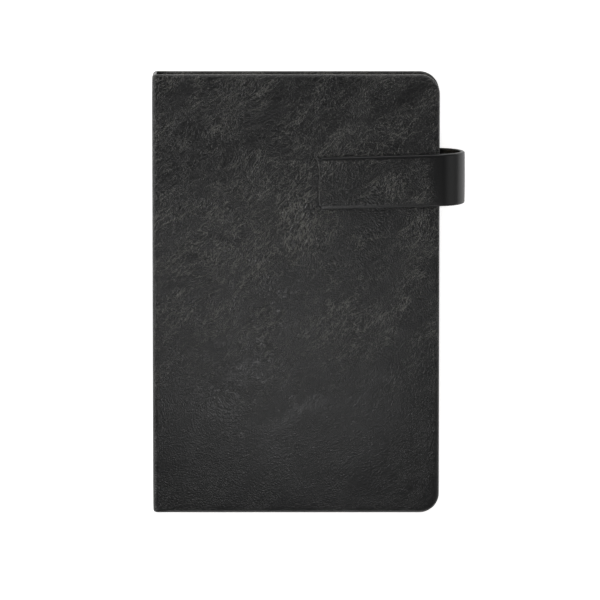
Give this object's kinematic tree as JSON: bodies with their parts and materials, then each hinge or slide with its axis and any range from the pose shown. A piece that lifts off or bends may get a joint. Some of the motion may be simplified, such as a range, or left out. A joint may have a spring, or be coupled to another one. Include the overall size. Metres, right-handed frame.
{
  "type": "pocket notebook",
  "caption": "Pocket notebook in a padded leather-like hard case with sewn pages and a magnetic strap that loops round the fore-edge onto the front cover.",
  "frame": {"origin": "middle of the back cover's outer face, on which the closed notebook lies", "axes": "+X from the spine to the fore-edge, +Y from tail to head, +Z through the thickness from back cover to front cover"},
  "size_m": [0.0991, 0.14, 0.0154],
  "materials": {
    "leatherette": "fine pebbled grain, satin, soft padded edges",
    "greyboard": "solid pressed greyboard, matte",
    "endpaper": "smooth ivory endpaper",
    "leaf_paper": "smooth uncoated ivory paper, cut edges",
    "gauze": "open woven gauze set in glue",
    "band_cloth": "woven band with a rolled edge",
    "steel": "thin zinc-plated strip",
    "magnet": "nickel-plated flat magnet"
  },
  "bodies": {
    "back_cover": {"back_board": "greyboard", "back_cover_skin": "leatherette", "back_pastedown": "endpaper", "back_flyleaf": "endpaper", "signature_01": "leaf_paper", "signature_02": "leaf_paper", "signature_03": "leaf_paper", "signature_04": "leaf_paper", "signature_05": "leaf_paper", "signature_06": "leaf_paper", "mull": "gauze", "headband": "band_cloth", "tailband": "band_cloth", "strap_anchor": "leatherette"},
    "spine": {"spine_skin": "leatherette", "spine_card": "greyboard"},
    "front_hinge": {"front_hinge_strip": "leatherette"},
    "front_cover": {"front_board": "greyboard", "front_cover_skin": "leatherette", "front_pastedown": "endpaper", "keeper_plate": "steel"},
    "turned_pages": {"front_flyleaf": "endpaper", "signature_07": "leaf_paper", "signature_08": "leaf_paper", "signature_09": "leaf_paper", "signature_10": "leaf_paper", "signature_11": "leaf_paper", "signature_12": "leaf_paper"},
    "strap_link_1": {"strap_link_1": "leatherette"},
    "strap_link_2": {"strap_link_2": "leatherette"},
    "strap_link_3": {"strap_link_3": "leatherette"},
    "strap_tip": {"strap_tip": "leatherette", "strap_magnet": "magnet"}
  },
  "joints": [
    {"name": "spine_turn", "type": "hinge", "parent": "back_cover", "child": "spine", "pos_m": [-0.0455, 0, 0], "axis": [0, -1, 0], "range_deg": [0, 90]},
    {"name": "front_hinge_turn", "type": "hinge", "parent": "spine", "child": "front_hinge", "pos_m": [-0.0455, 0, 0.014], "axis": [0, -1, 0], "range_deg": [0, 90]},
    {"name": "page_turn", "type": "hinge", "parent": "back_cover", "child": "turned_pages", "pos_m": [-0.0427, 0, 0.007], "axis": [0, -1, 0], "range_deg": [0, 180], "deforming": ["mull", "headband", "tailband"]},
    {"name": "cover_open", "type": "hinge", "parent": "front_hinge", "child": "front_cover", "pos_m": [-0.0415, 0, 0.014], "axis": [0, -1, 0], "range_deg": [0, 175]},
    {"name": "strap_open", "type": "hinge", "parent": "back_cover", "child": "strap_link_1", "pos_m": [0.04894, 0, 0.00087], "axis": [0, 1, 0], "range_deg": [0, 45]},
    {"name": "strap_bend_2", "type": "hinge", "parent": "strap_link_1", "child": "strap_link_2", "pos_m": [0.05303, 0, 0.00496], "axis": [0, 1, 0], "range_deg": [0, 45]},
    {"name": "strap_bend_3", "type": "hinge", "parent": "strap_link_2", "child": "strap_link_3", "pos_m": [0.05303, 0, 0.01074], "axis": [0, 1, 0], "range_deg": [0, 45]},
    {"name": "strap_bend_4", "type": "hinge", "parent": "strap_link_3", "child": "strap_tip", "pos_m": [0.04894, 0, 0.01483], "axis": [0, 1, 0], "range_deg": [0, 45], "deforming": ["strap_tip", "strap_magnet"]}
  ],
  "couplings": [
    {"joint": "front_hinge_turn", "follows": "page_turn", "ratio": 0.5},
    {"joint": "spine_turn", "follows": "page_turn", "ratio": 0.5},
    {"joint": "strap_bend_2", "follows": "strap_open", "ratio": 1},
    {"joint": "strap_bend_3", "follows": "strap_open", "ratio": 1},
    {"joint": "strap_bend_4", "follows": "strap_open", "ratio": 1}
  ]
}
